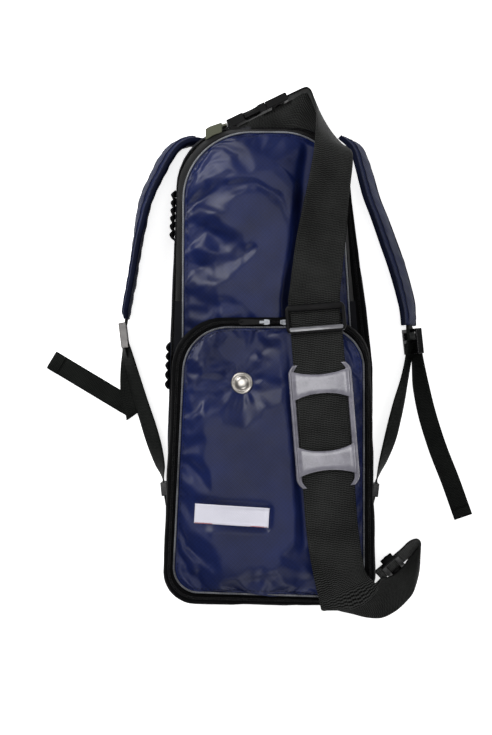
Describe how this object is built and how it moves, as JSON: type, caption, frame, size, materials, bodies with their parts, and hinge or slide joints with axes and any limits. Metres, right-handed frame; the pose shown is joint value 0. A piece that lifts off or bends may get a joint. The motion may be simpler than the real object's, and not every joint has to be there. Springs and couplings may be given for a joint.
{
  "type": "oxygen cylinder carry bag",
  "caption": "Soft backpack for a small oxygen cylinder, lying on its back, with a zipped flap, a front pocket, a buckled sling with pad, and two padded shoulder straps.",
  "frame": {"origin": "centre of the back panel's flat outer face, which the bag lies on", "axes": "+Z out of the front, +Y to the top of the bag, +X to the right as seen from the front"},
  "size_m": [0.4387, 0.5434, 0.1574],
  "materials": {
    "navy_nylon": "coated nylon, soft sheen",
    "strap_navy": "woven nylon over foam",
    "black_nylon": "matt woven nylon",
    "black_webbing": "ribbed webbing",
    "lining": "plain lining",
    "zip_black": "zip tape and coil",
    "piping_silver": "reflective piping",
    "piping_dark": "piping",
    "black_plastic": "moulded acetal",
    "grey_plastic": "glossy moulded plastic",
    "chrome": "polished",
    "dark_metal": "black lacquer",
    "label_white": "woven label",
    "foam_mesh": "spacer mesh",
    "board": "flat board"
  },
  "bodies": {
    "bag": {"back_panel": "foam_mesh", "stiffener_board": "board", "liner": "lining", "base_pad": "foam_mesh", "cylinder_strap": "black_webbing", "rear_gusset": "black_nylon", "main_zip_rear": "zip_black", "main_zip_lower": "zip_black", "lower_gusset": "black_nylon", "front_wall": "navy_nylon", "front_piping": "piping_silver", "pocket_gusset": "black_nylon", "pocket_zip_outer": "zip_black", "pocket_zip_inner": "zip_black", "pocket_panel": "navy_nylon", "pocket_piping": "piping_dark", "pocket_divider": "lining", "snap_stud": "chrome", "label": "label_white", "side_elastic": "black_webbing", "sling_webbing_lower": "black_webbing", "sling_lower_slide": "black_plastic", "sling_lower_anchor": "black_webbing", "shoulder_anchor_left": "strap_navy", "shoulder_anchor_right": "strap_navy", "lower_anchor_left": "black_webbing", "lower_anchor_right": "black_webbing", "lower_slide_left": "black_plastic", "lower_slide_right": "black_plastic"},
    "flap": {"flap_panel": "navy_nylon", "flap_band": "black_nylon", "flap_piping": "piping_silver", "main_zip_flap": "zip_black", "sling_webbing_upper": "black_webbing", "sling_tail": "black_webbing", "sling_buckle_female": "black_plastic", "sling_upper_anchor": "black_webbing"},
    "buckle_male": {"sling_buckle_male": "black_plastic"},
    "adjuster": {"sling_adjuster": "black_plastic"},
    "sling_pad": {"sling_pad": "grey_plastic"},
    "pocket_flap": {"pocket_flap_panel": "navy_nylon", "pocket_flap_piping": "piping_dark", "pocket_zip_flap": "zip_black", "snap_cap": "chrome", "snap_socket": "chrome"},
    "pocket_slider_l": {"pocket_slider_left": "chrome"},
    "pocket_pull_l": {"pocket_pull_left": "black_plastic"},
    "pocket_slider_r": {"pocket_slider_right": "chrome"},
    "side_slider": {"main_slider_side": "dark_metal"},
    "side_pull": {"main_pull_side": "black_plastic"},
    "top_slider": {"main_slider_top": "dark_metal"},
    "top_pull": {"main_pull_top": "black_plastic"},
    "strap_left": {"strap_pad_left": "strap_navy", "ladder_lock_left": "grey_plastic", "strap_web_left": "black_webbing", "strap_tail_left": "black_webbing"},
    "strap_right": {"strap_pad_right": "strap_navy", "ladder_lock_right": "black_plastic", "strap_web_right": "black_webbing", "strap_tail_right": "black_webbing"}
  },
  "joints": [
    {"name": "flap_open", "type": "hinge", "parent": "bag", "child": "flap", "pos_m": [0, 0.0615, 0.158], "axis": [1, 0, 0], "range_deg": [0, 90]},
    {"name": "pocket_open", "type": "hinge", "parent": "bag", "child": "pocket_flap", "pos_m": [0.006, 0.042, 0.145], "axis": [0.3286, 0.9445, 0], "range_deg": [0, 80]},
    {"name": "buckle_release", "type": "slide", "parent": "flap", "child": "buckle_male", "axis": [0.9026, 0.4305, 0], "range_m": [0, 0.012]},
    {"name": "adjuster_slide", "type": "slide", "parent": "bag", "child": "adjuster", "axis": [0.0791, -0.9969, 0], "range_m": [0, 0.02]},
    {"name": "pad_slide", "type": "slide", "parent": "bag", "child": "sling_pad", "axis": [0.0791, -0.9969, 0], "range_m": [-0.005, 0.035]},
    {"name": "pocket_zip_left", "type": "slide", "parent": "pocket_flap", "child": "pocket_slider_l", "axis": [-1, 0, 0], "range_m": [0, 0.028]},
    {"name": "pocket_pull_left_lift", "type": "hinge", "parent": "pocket_slider_l", "child": "pocket_pull_l", "pos_m": [-0.00675, 0.04, 0.1463], "axis": [0, 1, 0], "range_deg": [0, 110]},
    {"name": "pocket_zip_right", "type": "slide", "parent": "bag", "child": "pocket_slider_r", "axis": [1, 0, 0], "range_m": [0, 0.028]},
    {"name": "side_zip", "type": "slide", "parent": "bag", "child": "side_slider", "axis": [-0.1121, 0.9937, 0], "range_m": [0, 0.038]},
    {"name": "side_pull_lift", "type": "hinge", "parent": "side_slider", "child": "side_pull", "pos_m": [0.09495, 0.01375, 0.0723], "axis": [-0.9937, -0.1121, 0], "range_deg": [0, 110]},
    {"name": "top_zip", "type": "slide", "parent": "flap", "child": "top_slider", "axis": [1, 0, 0], "range_m": [0, 0.03]},
    {"name": "top_pull_lift", "type": "hinge", "parent": "top_slider", "child": "top_pull", "pos_m": [-0.02475, 0.235, 0.0723], "axis": [0, 1, 0], "range_deg": [0, 110]},
    {"name": "strap_left_swing", "type": "hinge", "parent": "bag", "child": "strap_left", "pos_m": [-0.112, 0, 0.0478], "axis": [0, 1, 0], "range_deg": [0, 75]},
    {"name": "strap_right_swing", "type": "hinge", "parent": "bag", "child": "strap_right", "pos_m": [0.112, 0, 0.0478], "axis": [0, -1, 0], "range_deg": [0, 75]}
  ]
}
